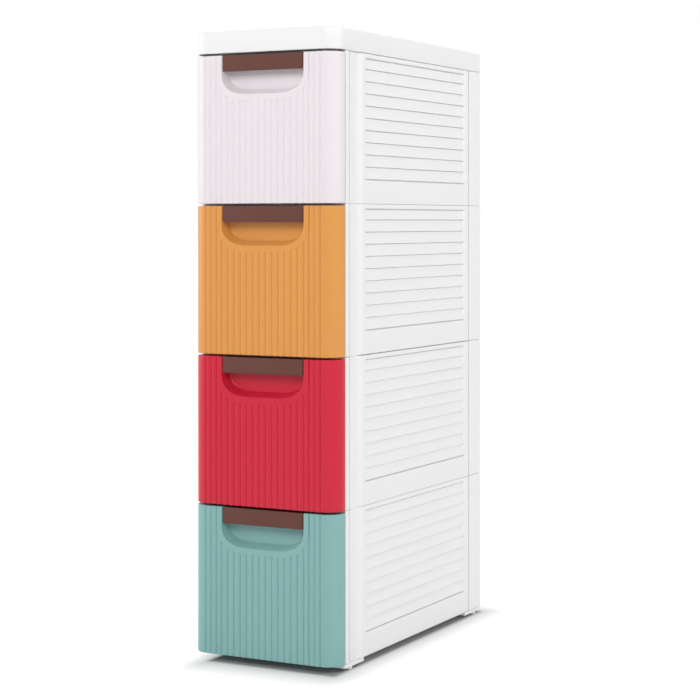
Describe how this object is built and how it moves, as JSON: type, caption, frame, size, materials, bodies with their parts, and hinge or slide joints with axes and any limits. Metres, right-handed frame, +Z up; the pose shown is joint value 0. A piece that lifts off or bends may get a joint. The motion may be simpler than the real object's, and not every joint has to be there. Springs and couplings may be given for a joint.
{
  "type": "drawer tower",
  "caption": "Slim moulded-plastic drawer tower with louvred sides, ribbed pull-out drawers with recessed grips, a flat cap and low feet.",
  "frame": {"origin": "on the floor, in the middle of the tower's footprint", "axes": "+X to the tower's right seen from the front, +Y from the drawer fronts to the back, +Z up"},
  "size_m": [0.22, 0.46, 0.8385],
  "materials": {
    "carcass_white": "satin moulded plastic",
    "bin_white": "satin moulded plastic",
    "foot_white": "satin moulded plastic",
    "front_blush": "satin moulded plastic, ribbed",
    "front_orange": "satin moulded plastic, ribbed",
    "front_red": "satin moulded plastic, ribbed",
    "front_teal": "satin moulded plastic, ribbed",
    "grip_brown": "flat matt plastic"
  },
  "bodies": {
    "cabinet": {"top_cover": "carcass_white", "side_panel_left_1": "carcass_white", "side_panel_left_2": "carcass_white", "side_panel_left_3": "carcass_white", "side_panel_left_4": "carcass_white", "side_panel_right_1": "carcass_white", "side_panel_right_2": "carcass_white", "side_panel_right_3": "carcass_white", "side_panel_right_4": "carcass_white", "back_panel_1": "carcass_white", "back_panel_2": "carcass_white", "back_panel_3": "carcass_white", "back_panel_4": "carcass_white", "shelf_1": "carcass_white", "shelf_2": "carcass_white", "shelf_3": "carcass_white", "base_frame": "carcass_white", "feet": "foot_white"},
    "drawer_1": {"drawer_bin_1": "bin_white", "drawer_front_1": "front_teal", "grip_bar_1": "grip_brown"},
    "drawer_2": {"drawer_bin_2": "bin_white", "drawer_front_2": "front_red", "grip_bar_2": "grip_brown"},
    "drawer_3": {"drawer_bin_3": "bin_white", "drawer_front_3": "front_orange", "grip_bar_3": "grip_brown"},
    "drawer_4": {"drawer_bin_4": "bin_white", "drawer_front_4": "front_blush", "grip_bar_4": "grip_brown"}
  },
  "joints": [
    {"name": "drawer_1_slide", "type": "slide", "parent": "cabinet", "child": "drawer_1", "axis": [0, -1, 0], "range_m": [0, 0.33]},
    {"name": "drawer_2_slide", "type": "slide", "parent": "cabinet", "child": "drawer_2", "axis": [0, -1, 0], "range_m": [0, 0.33]},
    {"name": "drawer_3_slide", "type": "slide", "parent": "cabinet", "child": "drawer_3", "axis": [0, -1, 0], "range_m": [0, 0.33]},
    {"name": "drawer_4_slide", "type": "slide", "parent": "cabinet", "child": "drawer_4", "axis": [0, -1, 0], "range_m": [0, 0.33]}
  ]
}
